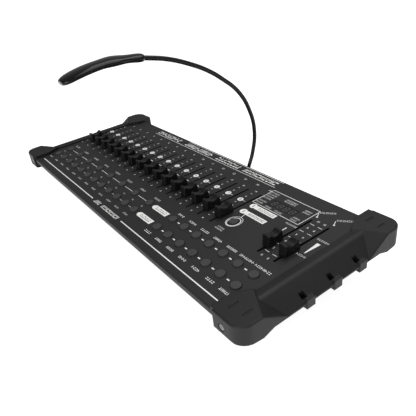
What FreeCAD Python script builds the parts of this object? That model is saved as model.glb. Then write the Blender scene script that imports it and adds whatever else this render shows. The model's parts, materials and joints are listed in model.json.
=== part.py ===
import FreeCAD, Part
import math
import os

# Lighting control desk: a wedge-shaped steel case with a printed top panel, eighteen slide
# faders, thirty-five round keys, two moulded end caps, rear sockets and a gooseneck lamp.
#
# Two working frames are used, in millimetres.
#   panel frame: X along the desk, S up the sloping panel from its front printed line,
#                H square to the panel, 0 on its outer face
#   floor frame: X along the desk, Y to the rear from the same printed line, Z up from the floor
# All pieces are moved together at the end, so that the origin is on the floor under the middle.

Vec = FreeCAD.Vector

# ---- case ----
SLOPE_DEG = 8.0            # tilt of the panel
LINE_HEIGHT = 34.0         # height of the panel's front printed line above the floor
PANEL_LENGTH = 428.0
PANEL_FRONT = -9.4         # S of the panel's front edge
PANEL_REAR = 166.8         # S of the panel's rear edge
SHEET = 1.2                # steel thickness
FIT = 0.2                  # gap between case pieces that slide together
BEND_R = 1.8               # outside radius of the folds
LIP = 5.5                  # depth of the panel's folded front lip
REAR_FLANGE = 7.0
TRAY_INSET = 10.0          # tray side wall inside the panel's end
TRAY_TOE = 12.0            # Y where the slanting front wall meets the floor plate
FOOT_HEIGHT = 4.0
FOOT_R = 7.0
FOOT_INSET = 18.0

# ---- end caps, measured from the panel's end (across) and the cap's front (along) ----
CAP_REACH = 22.6           # caps beyond the panel's ends
EAR_OVERLAP = 13.0         # how far the ears lie over the panel
WRAP_OVERLAP = 9.0         # how far their front walls reach inwards
RAIL_OVERLAP = 4.0         # how far the middle rail lies over the panel
EAR_OUT = 2.0              # ear beyond the panel's front edge
EAR_BACK = 10.0            # ear beyond the panel's rear edge
EAR_SIDE = 22.0            # straight part of an ear's inner side
EAR_TAPER = 38.4           # where its slanting inner side meets the rail
EAR_CORNER = 13.0
EAR_TOP = 3.8
EAR_BOTTOM = -14.0
EAR_SAG = 2.3              # the ear is deepest at the start of its ramp
EAR_ROUND = 1.3
RAMP_START = 21.6          # where the ear's top begins to fall, on its outer side
RAMP_FALL = 0.605          # drop of the ramp along the cap
RAMP_SKEW = 0.334          # rise of the ramp towards the panel
RAIL_EDGE = 1.6            # rail height at its inner edge
RAIL_CREST = 3.0
CREST_X = 5.0
CREST_ROUND = 6.0
BRIM_TOP = -11.1           # the rail's outer edge
BRIM_BOTTOM = -12.7
SKIRT_X = (15.5, 12.5)     # the two corners of the rail's underside
SKIRT_H = -18.5
RAIL_BOTTOM = -22.5
RAIL_START = 19.0          # where the rail's underside begins to deepen
CAP_WALL = 2.6
TAB_PITCH = 31.5
TAB_SHIFT = 8.0            # tabs are centred to the rear of the cap's middle
TAB_WIDTH = 9.2
TAB_INNER = 17.0
TAB_PROUD = 0.4            # tab beyond the rail's edge
TAB_TOP = -8.4
TAB_BOTTOM = -18.6
TAB_ROUND = 1.5
POCKET = (4.6, 5.8)        # recess at the root of each tab: across and along
POCKET_X = 17.3
POCKET_SHIFT = -3.6        # from the tab's middle
POCKET_FLOOR = -12.5
GROOVE = (9.4, 1.8, 0.6)   # length, width and depth of the two moulded grooves on an ear
GROOVE_PLACES = ((-2.0, 14.9), (11.0, 17.0))
CAP_SCREW_X = 1.0
CAP_SCREW_H = -6.9
SCREW_HEAD_R = 2.6
SCREW_HEAD = 1.3
SCREW_WELL_R = 3.4
SCREW_WELL = 1.6

# ---- faders ----
FADER_PITCH = 20.0
CHANNELS = 16
CHANNEL_1_X = -196.5
SPEED_X = 172.5
FADE_TIME_X = 192.5
SLOT_CENTRE = 96.7
SLOT_LENGTH = 68.5
SLOT_WIDTH = 2.4
TRAVEL = 60.0
KNOB_REST = 81.0           # S of every knob at rest
KNOB_LENGTH = 18.6
KNOB_WIDTH = 8.6
KNOB_HEIGHT = 10.4
KNOB_GAP = 1.0             # between knob and panel
KNOB_DIP = 2.6             # depth of the finger hollow
KNOB_END = 2.4             # raised end of the knob, along S
KNOB_RAKE = 1.2
KNOB_ROUND = 1.1
LEVER_WIDTH = 1.2
LEVER_LENGTH = 5.0
TRACK_LENGTH = 88.0
TRACK_WIDTH = 9.0
TRACK_HEIGHT = 7.0
TRACK_FLOOR = 1.5

# ---- keys ----
KEY_R = 4.6
KEY_PROUD = 1.6
KEY_GAP = 0.4              # round the key in its hole, and above its flange
KEY_TRAVEL = 0.8
KEY_FLANGE = 1.2           # flange beyond the key's side
KEY_STEM_R = 2.0
LOWER_ROW = 20.8
UPPER_ROW = 39.5
LEFT_KEY_X = -193.0        # first scene key and first fixture key
SCENE_KEYS = 8
SCENE_PITCH = 31.43
FIXTURE_KEYS = 12
FUNCTION_KEY_X = 74.0
PAGE_KEY = (121.5, 78.2)
SWITCH_SIDE = 11.0
SWITCH_HEIGHT = 6.0
LED_ROW = 30.2
LED_R = 1.4
LED_RIM = 0.5

# ---- board and display ----
BOARD_TOP = -16.0
BOARD_THICK = 1.6
BOARD_MARGIN = 5.0         # between the board's end and the tray's side wall
BOARD_FRONT = 9.0
BOARD_REAR_GAP = 12.8      # between the board's rear edge and the panel's
STANDOFF_R = 2.4
STANDOFF_BORE_R = 1.3
DISPLAY_CENTRE = (138.0, 128.0)
DISPLAY_SIZE = (34.0, 11.2)
MODULE_RIM = 1.5
MODULE_HEIGHT = 8.0

# ---- rear sockets ----
SOCKET_Z = 24.0
DMX_X = (76.0, 118.0)
MIDI_X = -24.0
AUDIO_X = -62.0
INLET_X = -104.0
SWITCH_X = -146.0
XLR_FLANGE = (26.0, 31.0)
XLR_SHELL_R = 11.0
XLR_DEPTH = 18.0
FLANGE_THICK = 2.0
ROCKER_R = 8.6
ROCKER_WIDTH = 12.0
ROCKER_TILT = 7.0

# ---- lamp ----
LAMP_X = 24.5
LAMP_Z = 37.0
LAMP_SOCKET_R = 5.0
LAMP_FLANGE_R = 7.5
SPIGOT_R = 3.0
SPIGOT_LENGTH = 9.0
RUNNING = 0.06             # radial clearance of a turning fit
PLUG_R = 5.5
PLUG_GAP = 0.4             # between plug and socket faces
NECK_R = 2.4
BALL_GAP = 0.35            # clearance round each ball-shaped end of the neck
HEAD_WIDTH = 22.0
HEAD_THICK = 8.0
LENS_THICK = 1.6

# neck and head lines in the upright plane X = LAMP_X: Y behind the rear sockets' faces, and Z
NECK_ROOT = (14.8, 46.4)
NECK_LOWER_LINE = [NECK_ROOT, (20.6, 66.0), (21.8, 91.5), (12.2, 118.5), (-5.2, 141.5),
                   (-28.0, 157.8)]
NECK_UPPER_LINE = [(-28.0, 157.8), (-47.0, 168.2), (-70.0, 177.0), (-96.3, 184.0), (-123.2, 187.4)]
HEAD_LINE = [(-123.2, 187.4), (-124.8, 187.5), (-129.8, 187.6), (-145.8, 187.4), (-164.8, 185.3),
             (-181.8, 181.2), (-196.0, 176.3), (-201.6, 174.0), (-203.6, 173.1)]
HEAD_SHAPE = [(0.50, 0.86), (0.62, 0.96), (0.72, 1.0), (0.92, 1.0), (1.0, 1.0), (1.0, 1.0),
              (0.92, 0.94), (0.70, 0.76), (0.44, 0.50)]   # width and thickness along that line

# ---- small features ----
FOOT_PEG_R = 2.5
VENTS = 12
VENT_X = -66.0
VENT_PITCH = 12.0
VENT_Y = 90.0
VENT_WIDTH = 3.0
VENT_LENGTH = 30.0
STEM_DEPTH = 2.2           # how far a key's stem reaches into its switch
XLR_GROOVE_R = (9.4, 7.8)
MIDI_R = 9.0
AUDIO_NUT_R = 4.6
AUDIO_SLEEVE_R = 4.15
AUDIO_SLEEVE = 8.5
INLET_R = 5.5
ROCKER_FRAME = (14.6, 19.6)
ROCKER_FACE = 4.6          # from the rocker's pivot to its face
ROCKER_DEPTH = 4.0         # from the flange's face to the pivot
PIVOT_R = 1.2
LENS_SHARE = 0.55          # lens width over head width

SLOPE = math.radians(SLOPE_DEG)
COS = math.cos(SLOPE)
SIN = math.sin(SLOPE)
HALF = PANEL_LENGTH / 2
CASE_HALF = HALF - TRAY_INSET
CAP_FRONT = PANEL_FRONT - EAR_OUT
CAP_REAR = PANEL_REAR + EAR_BACK
CAP_CENTRE = (CAP_FRONT + CAP_REAR) / 2
REAR_WALL = (PANEL_REAR - SHEET) * COS - FIT
BOARD_REAR = PANEL_REAR - BOARD_REAR_GAP
FLANGE_FACE = REAR_WALL + FLANGE_THICK
SCREW_R = STANDOFF_BORE_R
ROCKER_PIVOT_Y = FLANGE_FACE - ROCKER_DEPTH


def box(x0, x1, y0, y1, z0, z1):
    return Part.makeBox(x1 - x0, y1 - y0, z1 - z0, Vec(x0, y0, z0))


def block(x, y, width, depth, z0, z1):
    return box(x - width / 2, x + width / 2, y - depth / 2, y + depth / 2, z0, z1)


def disc(x, y, z0, z1, radius):
    return Part.makeCylinder(radius, z1 - z0, Vec(x, y, z0))


def pin_y(x, z, y0, y1, radius):
    return Part.makeCylinder(radius, y1 - y0, Vec(x, y0, z), Vec(0, 1, 0))


def fuse(shapes):
    shapes = list(shapes)
    if len(shapes) == 1:
        return shapes[0]
    return shapes[0].multiFuse(shapes[1:]).removeSplitter()


def prism(points, axis, start, end):
    """Extrude a closed outline along axis. Its points are (y, z), (x, z) or (x, y)."""
    corner = {"x": lambda a, b: Vec(start, a, b),
              "y": lambda a, b: Vec(a, start, b),
              "z": lambda a, b: Vec(a, b, start)}[axis]
    along = {"x": Vec(1, 0, 0), "y": Vec(0, 1, 0), "z": Vec(0, 0, 1)}[axis]
    corners = [corner(a, b) for a, b in points]
    face = Part.Face(Part.makePolygon(corners + corners[:1]))
    return face.extrude(along * (end - start))


def on_panel(shape):
    placed = shape.copy()
    placed.rotate(Vec(0, 0, 0), Vec(1, 0, 0), SLOPE_DEG)
    placed.translate(Vec(0, 0, LINE_HEIGHT))
    return placed


def panel_point(x, s, h):
    return Vec(x, s * COS - h * SIN, s * SIN + h * COS + LINE_HEIGHT)


def panel_height(y, h):
    """Z of the plane at height h over the panel, above a place on the floor."""
    return LINE_HEIGHT + (y + h * SIN) / COS * SIN + h * COS


def mirror_x(shape):
    return shape.mirror(Vec(0, 0, 0), Vec(1, 0, 0))


def mirror_ends(shape):
    return shape.mirror(Vec(0, CAP_CENTRE, 0), Vec(0, 1, 0))


# ---- places shared by several pieces ----
def fader_places():
    places = []
    for i in range(CHANNELS):
        places.append(("channel_fader_%02d" % (i + 1), CHANNEL_1_X + FADER_PITCH * i))
    places.append(("speed_fader", SPEED_X))
    places.append(("fade_time_fader", FADE_TIME_X))
    return places


def scene_places():
    return [(LEFT_KEY_X + SCENE_PITCH * i, UPPER_ROW) for i in range(SCENE_KEYS)]


def fixture_places():
    return [(LEFT_KEY_X + FADER_PITCH * i, LOWER_ROW) for i in range(FIXTURE_KEYS)]


def function_places():
    upper = ["program_key", "midi_record_key", "mode_key", "music_key", "step_key",
             "blackout_key", "tap_sync_key"]
    lower = ["chase_key_%d" % (i + 1) for i in range(len(upper) - 1)] + ["auto_key"]
    places = [("page_key",) + PAGE_KEY]
    for i, (above, below) in enumerate(zip(upper, lower)):
        x = FUNCTION_KEY_X + FADER_PITCH * i
        places.append((above, x, UPPER_ROW))
        places.append((below, x, LOWER_ROW))
    return places


def key_places():
    return scene_places() + fixture_places() + [(x, s) for name, x, s in function_places()]


def led_places():
    return [(x, LED_ROW) for x, s in fixture_places()]


def standoff_places():
    half_pitch = FADER_PITCH / 2
    xs = [LEFT_KEY_X + half_pitch, LEFT_KEY_X + 13 * half_pitch,
          FUNCTION_KEY_X - half_pitch, FUNCTION_KEY_X + 11 * half_pitch]
    return [(x, s) for x in xs for s in (LED_ROW, BOARD_REAR - STANDOFF_R - 2.6)]


def foot_places():
    x = CASE_HALF - FOOT_INSET
    return [(side * x, y) for side in (-1, 1) for y in (TRAY_TOE + FOOT_INSET,
                                                        REAR_WALL - FOOT_INSET)]


def tab_places():
    return [CAP_CENTRE + TAB_SHIFT + TAB_PITCH * i for i in (-1, 0, 1)]


# ---- case ----
def top_panel():
    plate = box(-HALF, HALF, PANEL_FRONT, PANEL_REAR, -SHEET, 0)
    lip = box(-HALF, HALF, PANEL_FRONT, PANEL_FRONT + SHEET, -LIP, 0)
    flange = box(-HALF, HALF, PANEL_REAR - SHEET, PANEL_REAR, -REAR_FLANGE, 0)
    panel = fuse([plate, lip, flange])
    folds = [e for e in panel.Edges
             if e.BoundBox.ZMin > -FIT and e.BoundBox.XLength > HALF]
    panel = panel.makeFillet(BEND_R, folds)
    cuts = [block(x, SLOT_CENTRE, SLOT_WIDTH, SLOT_LENGTH, -2 * SHEET, 1)
            for name, x in fader_places()]
    cuts += [disc(x, s, -2 * SHEET, 1, KEY_R + KEY_GAP) for x, s in key_places()]
    cuts += [disc(x, s, -2 * SHEET, 1, LED_R + FIT) for x, s in led_places()]
    width, depth = DISPLAY_SIZE
    cuts.append(block(*DISPLAY_CENTRE, width + 2 * FIT, depth + 2 * FIT, -2 * SHEET, 1))
    panel = panel.cut(Part.makeCompound(cuts))
    posts = []
    for x, s in standoff_places():
        post = disc(x, s, BOARD_TOP, -SHEET, STANDOFF_R)
        posts.append(post.cut(disc(x, s, BOARD_TOP, -2 * SHEET, STANDOFF_BORE_R)))
    return on_panel(fuse([panel] + posts))


def tray_outline(inset, top):
    """Side outline of the tray in the floor frame, moved in by inset on its walls."""
    front = PANEL_FRONT + SHEET + FIT + inset
    upper = panel_point(0, front, top)
    lower = panel_point(0, front, -LIP)
    floor = FOOT_HEIGHT + inset
    rear = REAR_WALL - inset
    return [(upper.y, upper.z), (lower.y, lower.z), (TRAY_TOE + inset, floor), (rear, floor),
            (rear, panel_height(rear, top))]


def base_tray():
    outer = prism(tray_outline(0, -SHEET - FIT), "x", -CASE_HALF, CASE_HALF)
    inner = prism(tray_outline(SHEET, SHEET), "x", -CASE_HALF + SHEET, CASE_HALF - SHEET)
    tray = outer.cut(inner)
    back = REAR_WALL - 2 * SHEET
    cuts = [pin_y(x, SOCKET_Z, back, REAR_WALL + 1, XLR_SHELL_R + FIT) for x in DMX_X]
    cuts.append(pin_y(MIDI_X, SOCKET_Z, back, REAR_WALL + 1, MIDI_R + FIT))
    cuts.append(pin_y(AUDIO_X, SOCKET_Z, back, REAR_WALL + 1, AUDIO_NUT_R + FIT))
    cuts.append(pin_y(INLET_X, SOCKET_Z, back, REAR_WALL + 1, INLET_R + FIT))
    cuts.append(pin_y(LAMP_X, LAMP_Z, back, REAR_WALL + 1, LAMP_SOCKET_R + FIT))
    width, height = ROCKER_FRAME
    cuts.append(box(SWITCH_X - width / 2 - FIT, SWITCH_X + width / 2 + FIT, back, REAR_WALL + 1,
                    SOCKET_Z - height / 2 - FIT, SOCKET_Z + height / 2 + FIT))
    for x, y in foot_places():
        cuts.append(disc(x, y, FOOT_HEIGHT - 1, FOOT_HEIGHT + 2 * SHEET, FOOT_PEG_R + FIT))
    for i in range(VENTS):
        x = VENT_X + VENT_PITCH * i
        cuts.append(block(x, VENT_Y, VENT_WIDTH, VENT_LENGTH, FOOT_HEIGHT - 1,
                          FOOT_HEIGHT + 2 * SHEET))
    return tray.cut(Part.makeCompound(cuts))


# ---- end caps ----
def cap_block(x0, x1, along0, along1, h0, h1):
    """A block given by its distances from the panel's end and from the cap's front."""
    return box(HALF + x0, HALF + x1, CAP_FRONT + along0, CAP_FRONT + along1, h0, h1)


def ear_plan():
    places = [(-EAR_OVERLAP, 0), (CAP_REACH, 0), (CAP_REACH, ear_end()), (-RAIL_OVERLAP, ear_end()),
              (-RAIL_OVERLAP, EAR_TAPER), (-EAR_OVERLAP, EAR_SIDE)]
    plan = prism([(HALF + x, CAP_FRONT + along) for x, along in places], "z",
                 EAR_BOTTOM - EAR_SAG, EAR_TOP)
    corner = [e for e in plan.Edges if e.BoundBox.XMin > HALF + CAP_REACH - FIT
              and e.BoundBox.YMax < CAP_FRONT + FIT and e.BoundBox.ZLength > EAR_TOP]
    return plan.makeFillet(EAR_CORNER, corner)


def ear_end():
    """Where the ramp comes down to the rail's outer edge."""
    return RAMP_START + (EAR_TOP - BRIM_TOP) / RAMP_FALL


def ramp_cutter():
    """Everything above the sloping face that joins the ear's top to the rail."""
    def corner(x, along):
        drop = RAMP_FALL * (along - RAMP_START) - RAMP_SKEW * (CAP_REACH - x)
        return Vec(HALF + x, CAP_FRONT + along, EAR_TOP - drop)
    inner, outer, near, far = -EAR_OVERLAP - 1, CAP_REACH + 1, -EAR_OUT, 2 * ear_end()
    ring = [corner(inner, near), corner(outer, near), corner(outer, far), corner(inner, far)]
    face = Part.Face(Part.makePolygon(ring + ring[:1]))
    return face.extrude(Vec(0, 0, 4 * ear_end()))


def front_ear():
    lead = EAR_OUT / 2
    places = [(0, EAR_BOTTOM + lead), (0, EAR_TOP), (ear_end(), EAR_TOP), (ear_end(), BRIM_BOTTOM),
              (1.5 * RAMP_START, BRIM_BOTTOM), (RAMP_START, EAR_BOTTOM - EAR_SAG),
              (lead, EAR_BOTTOM)]
    side = prism([(CAP_FRONT + along, h) for along, h in places], "x",
                 HALF - EAR_OVERLAP - 1, HALF + CAP_REACH + 1)
    ear = ear_plan().common(side).cut(ramp_cutter())
    rim = [e for e in ear.Edges if e.BoundBox.ZMax > BRIM_TOP and e.BoundBox.ZMin > BRIM_TOP - FIT
           and e.BoundBox.XMax > HALF - EAR_OVERLAP + 1 and on_outside(e)]
    ear = ear.makeFillet(EAR_ROUND, rim)
    return ear.cut(cap_block(-EAR_OVERLAP - 1, -WRAP_OVERLAP, -1, EAR_OUT - FIT,
                             EAR_BOTTOM - EAR_SAG, EAR_TOP + 1))


def on_outside(edge):
    """True for the upper edges along the ear's front, its round corner and its outer side."""
    middle = edge.valueAt((edge.FirstParameter + edge.LastParameter) / 2)
    front = middle.y < CAP_FRONT + EAR_CORNER and edge.BoundBox.ZLength < FIT
    return middle.z > BRIM_TOP and (edge.BoundBox.XMin > HALF + CAP_REACH - FIT
                                    or front and edge.BoundBox.YMin < CAP_FRONT + FIT)


def rail():
    brim = HALF + CAP_REACH
    places = [(-RAIL_OVERLAP, RAIL_BOTTOM), (-RAIL_OVERLAP, RAIL_EDGE), (CREST_X, RAIL_CREST),
              (CAP_REACH, BRIM_TOP), (CAP_REACH, BRIM_BOTTOM), (SKIRT_X[0], SKIRT_H),
              (SKIRT_X[1], RAIL_BOTTOM)]
    section = prism([(HALF + x, h) for x, h in places], "y", CAP_FRONT + EAR_CORNER,
                    2 * CAP_CENTRE - CAP_FRONT - EAR_CORNER)
    crest = [e for e in section.Edges if e.BoundBox.ZMin > RAIL_CREST - FIT
             and e.BoundBox.YLength > EAR_CORNER]
    section = section.makeFillet(CREST_ROUND, crest)
    start = CAP_FRONT + RAIL_START
    deep = start + EAR_BOTTOM - RAIL_BOTTOM
    side = prism([(CAP_FRONT, RAIL_CREST), (CAP_FRONT, EAR_BOTTOM), (start, EAR_BOTTOM),
                  (deep, RAIL_BOTTOM), (2 * CAP_CENTRE - deep, RAIL_BOTTOM),
                  (2 * CAP_CENTRE - start, EAR_BOTTOM), (CAP_REAR, EAR_BOTTOM),
                  (CAP_REAR, RAIL_CREST)], "x", HALF - RAIL_OVERLAP - 1, brim + 1)
    return section.common(side).cut(rail_tops())


def rail_tops():
    """The ends of the rail's crest, cut to the same slope as the ears' ramps."""
    cutter = ramp_cutter().common(cap_block(-EAR_OVERLAP, CAP_REACH, 0, RAMP_START, BRIM_TOP,
                                            EAR_TOP))
    return cutter.fuse(mirror_ends(cutter))


def tab(s):
    reach = HALF + CAP_REACH + TAB_PROUD
    body = box(HALF + TAB_INNER, reach, s - TAB_WIDTH / 2, s + TAB_WIDTH / 2, TAB_BOTTOM, TAB_TOP)
    low = [e for e in body.Edges if e.BoundBox.ZMax < TAB_BOTTOM + FIT
           and (e.BoundBox.XLength > FIT or e.BoundBox.XMin > reach - FIT)]
    return body.makeFillet(TAB_ROUND, low)


def pocket(s):
    width, length = POCKET
    return block(HALF + POCKET_X, s + POCKET_SHIFT, width, length, POCKET_FLOOR, EAR_TOP)


def ear_grooves():
    length, width, depth = GROOVE
    floor = EAR_TOP - depth
    grooves = []
    for x, along in GROOVE_PLACES:
        run = (length - width) / 2
        s = CAP_FRONT + along
        parts = [block(HALF + x, s, width, 2 * run, floor, EAR_TOP + 1)]
        parts += [disc(HALF + x, s + side * run, floor, EAR_TOP + 1, width / 2)
                  for side in (-1, 1)]
        grooves.append(fuse(parts))
    return grooves


def cap_hollow():
    """Space inside a cap, open towards the tray's side wall."""
    roof = -SHEET - FIT
    wall = SKIRT_X[1]
    fall = (RAIL_CREST - BRIM_TOP) / (CAP_REACH - CREST_X)
    shoulder = RAIL_CREST - 2 * CAP_WALL - fall * (wall - CREST_X)
    floor = RAIL_BOTTOM + CAP_WALL
    profile = [(CASE_HALF + FIT, floor), (CASE_HALF + FIT, roof), (HALF + CREST_X - 1, roof),
               (HALF + wall - 1, shoulder), (HALF + wall - 1, floor)]
    return prism(profile, "y", CAP_FRONT + EAR_SIDE, CAP_REAR - EAR_SIDE)


def case_envelope():
    """The space that the panel and the tray take up, with their fitting gap."""
    panel = box(0, HALF + FIT, PANEL_FRONT - FIT, PANEL_REAR + FIT, -REAR_FLANGE - FIT, 0)
    tray = box(0, CASE_HALF + FIT, PANEL_FRONT - FIT, PANEL_REAR + FIT, 2 * RAIL_BOTTOM, 0)
    return panel.fuse(tray)


def cap_screw_wells():
    well = pin_y(HALF + CAP_SCREW_X, CAP_SCREW_H, CAP_FRONT - 1, CAP_FRONT + SCREW_WELL,
                 SCREW_WELL_R)
    return [well, mirror_ends(well)]


def end_cap():
    ear = front_ear()
    body = fuse([ear, mirror_ends(ear), rail()] + [tab(s) for s in tab_places()])
    cuts = [case_envelope(), cap_hollow()] + cap_screw_wells()
    for groove in ear_grooves():
        cuts += [groove, mirror_ends(groove)]
    cuts += [pocket(s) for s in tab_places()]
    for cut in cuts:
        body = body.cut(cut)
    return on_panel(max(body.Solids, key=lambda solid: solid.Volume))


# ---- fasteners and feet ----
def case_screws():
    screws = []
    face = CAP_FRONT + SCREW_WELL - SCREW_HEAD
    x = HALF + CAP_SCREW_X
    head = pin_y(x, CAP_SCREW_H, face, face + SCREW_HEAD, SCREW_HEAD_R)
    for width, height in ((SCREW_R, FIT), (FIT, SCREW_R)):
        head = head.cut(box(x - width, x + width, face, face + SCREW_HEAD / 2,
                            CAP_SCREW_H - height, CAP_SCREW_H + height))
    for screw in (head, mirror_ends(head)):
        screws += [on_panel(screw), on_panel(mirror_x(screw))]
    for x, s in standoff_places():
        under = BOARD_TOP - BOARD_THICK
        shank = disc(x, s, under, BOARD_TOP + 4, SCREW_R - FIT)
        screws.append(on_panel(disc(x, s, under - SCREW_HEAD, under, SCREW_HEAD_R).fuse(shank)))
    return Part.makeCompound(screws)


def rubber_feet():
    feet = []
    for x, y in foot_places():
        foot = Part.makeCone(FOOT_R - 1, FOOT_R, FOOT_HEIGHT, Vec(x, y, 0))
        peg = disc(x, y, FOOT_HEIGHT, FOOT_HEIGHT + SHEET, FOOT_PEG_R)
        feet.append(foot.fuse(peg))
    return Part.makeCompound(feet)


# ---- board, faders and keys ----
def circuit_board():
    half = CASE_HALF - SHEET - BOARD_MARGIN
    board = box(-half, half, BOARD_FRONT, BOARD_REAR, BOARD_TOP - BOARD_THICK, BOARD_TOP)
    holes = [disc(x, s, BOARD_TOP - 2 * BOARD_THICK, BOARD_TOP + 1, SCREW_R)
             for x, s in standoff_places()]
    return on_panel(board.cut(Part.makeCompound(holes)))


def fader_tracks():
    tracks = []
    top = BOARD_TOP + TRACK_HEIGHT
    for name, x in fader_places():
        body = block(x, SLOT_CENTRE, TRACK_WIDTH, TRACK_LENGTH, BOARD_TOP, top)
        channel = block(x, SLOT_CENTRE, LEVER_WIDTH + 4 * BALL_GAP, SLOT_LENGTH + 2,
                        BOARD_TOP + TRACK_FLOOR, top + 1)
        tracks.append(body.cut(channel))
    return on_panel(Part.makeCompound(tracks))


def fader(x):
    """A fader knob with a hollow for the fingertip, on its steel lever."""
    half = KNOB_LENGTH / 2
    top = KNOB_GAP + KNOB_HEIGHT
    front = KNOB_REST - half
    rear = KNOB_REST + half
    edge = half - KNOB_RAKE - KNOB_END
    lines = [Part.makeLine(Vec(x, front, KNOB_GAP), Vec(x, front + KNOB_RAKE, top)),
             Part.makeLine(Vec(x, front + KNOB_RAKE, top), Vec(x, KNOB_REST - edge, top)),
             Part.Arc(Vec(x, KNOB_REST - edge, top), Vec(x, KNOB_REST, top - KNOB_DIP),
                      Vec(x, KNOB_REST + edge, top)).toShape(),
             Part.makeLine(Vec(x, KNOB_REST + edge, top), Vec(x, rear - KNOB_RAKE, top)),
             Part.makeLine(Vec(x, rear - KNOB_RAKE, top), Vec(x, rear, KNOB_GAP)),
             Part.makeLine(Vec(x, rear, KNOB_GAP), Vec(x, front, KNOB_GAP))]
    face = Part.Face(Part.Wire(lines))
    face.translate(Vec(-KNOB_WIDTH / 2, 0, 0))
    knob = face.extrude(Vec(KNOB_WIDTH, 0, 0))
    sides = [e for e in knob.Edges if e.BoundBox.XLength < FIT and e.BoundBox.ZMax > 2 * KNOB_GAP]
    knob = knob.makeFillet(KNOB_ROUND, sides)
    lever = block(x, KNOB_REST, LEVER_WIDTH, LEVER_LENGTH, BOARD_TOP + TRACK_FLOOR + 2 * BALL_GAP,
                  KNOB_GAP + 1)
    return on_panel(knob.fuse(lever).removeSplitter())


def key(x, s):
    cap = disc(x, s, -SHEET - KEY_GAP, KEY_PROUD, KEY_R)
    rim = [e for e in cap.Edges if e.BoundBox.ZMin > KEY_PROUD - FIT]
    cap = cap.makeFillet(0.6, rim)
    flange = disc(x, s, -SHEET - 2 * KEY_GAP - 0.8, -SHEET - KEY_GAP, KEY_R + KEY_FLANGE)
    stem = disc(x, s, switch_top() - STEM_DEPTH, -SHEET - KEY_GAP, KEY_STEM_R)
    return on_panel(fuse([cap, flange, stem]))


def switch_top():
    return BOARD_TOP + SWITCH_HEIGHT


def key_switches():
    switches = []
    for x, s in key_places():
        body = block(x, s, SWITCH_SIDE, SWITCH_SIDE, BOARD_TOP, switch_top())
        bore = disc(x, s, switch_top() - STEM_DEPTH - KEY_TRAVEL - KEY_GAP, switch_top() + 1,
                    KEY_STEM_R + KEY_GAP)
        switches.append(body.cut(bore))
    return on_panel(Part.makeCompound(switches))


def indicator_leds():
    leds = []
    for x, s in led_places():
        lens = disc(x, s, -SHEET - 3, 0, LED_R).fuse(Part.makeSphere(LED_R, Vec(x, s, 0)))
        rim = disc(x, s, -SHEET - 3.8, -SHEET - 3, LED_R + LED_RIM)
        legs = [block(x + side * 0.8, s, 0.5, 0.5, BOARD_TOP, -SHEET - 3.8) for side in (-1, 1)]
        leds.append(fuse([lens, rim] + legs))
    return on_panel(Part.makeCompound(leds))


def display_window():
    width, depth = DISPLAY_SIZE
    pane = block(*DISPLAY_CENTRE, width, depth, -SHEET, -FIT)
    return on_panel(pane)


def display_module():
    width, depth = DISPLAY_SIZE
    body = block(*DISPLAY_CENTRE, width + 2 * MODULE_RIM, depth + 2 * MODULE_RIM,
                 -SHEET - FIT - MODULE_HEIGHT, -SHEET - FIT)
    pins = [block(DISPLAY_CENTRE[0] + 5 * i, DISPLAY_CENTRE[1] + side * 4, 0.6, 0.6, BOARD_TOP,
                  -SHEET - FIT - MODULE_HEIGHT) for i in (-2, -1, 0, 1, 2) for side in (-1, 1)]
    return on_panel(fuse([body] + pins))


# ---- rear sockets ----
def ring_groove(x, z, outer, inner, depth):
    groove = pin_y(x, z, FLANGE_FACE - depth, FLANGE_FACE + 1, outer)
    return groove.cut(pin_y(x, z, FLANGE_FACE - depth - 1, FLANGE_FACE + 2, inner))


def contact_holes(x, z, radius, count, spread, start, hole_r, depth):
    holes = []
    for i in range(count):
        angle = math.radians(start + spread * i)
        hole_x = x + radius * math.cos(angle)
        hole_z = z + radius * math.sin(angle)
        holes.append(pin_y(hole_x, hole_z, FLANGE_FACE - depth, FLANGE_FACE + 1, hole_r))
    return holes


def dmx_sockets():
    sockets = []
    width, height = XLR_FLANGE
    for x in DMX_X:
        flange = box(x - width / 2, x + width / 2, REAR_WALL, FLANGE_FACE,
                     SOCKET_Z - height / 2, SOCKET_Z + height / 2)
        corners = [e for e in flange.Edges if e.BoundBox.YLength > FLANGE_THICK / 2]
        flange = flange.makeFillet(3, corners)
        socket = flange.fuse(pin_y(x, SOCKET_Z, REAR_WALL - XLR_DEPTH, REAR_WALL, XLR_SHELL_R))
        socket = socket.cut(ring_groove(x, SOCKET_Z, XLR_GROOVE_R[0], XLR_GROOVE_R[1], 9))
        for hole in contact_holes(x, SOCKET_Z, 3.8, 3, 120, 90, 1.3, 9):
            socket = socket.cut(hole)
        latch = box(x - 3, x + 3, FLANGE_FACE, FLANGE_FACE + 1.2, SOCKET_Z + XLR_GROOVE_R[0] + 0.6,
                    SOCKET_Z + height / 2 - 1)
        sockets.append(socket.fuse(latch))
    return Part.makeCompound(sockets)


def midi_socket():
    flange = pin_y(MIDI_X, SOCKET_Z, REAR_WALL, FLANGE_FACE, MIDI_R + 1.5)
    socket = flange.fuse(pin_y(MIDI_X, SOCKET_Z, REAR_WALL - 12, REAR_WALL, MIDI_R))
    socket = socket.cut(ring_groove(MIDI_X, SOCKET_Z, MIDI_R - 1, MIDI_R - 2.2, 8))
    for hole in contact_holes(MIDI_X, SOCKET_Z, 4.2, 5, 45, 0, 0.9, 8):
        socket = socket.cut(hole)
    return socket


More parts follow.
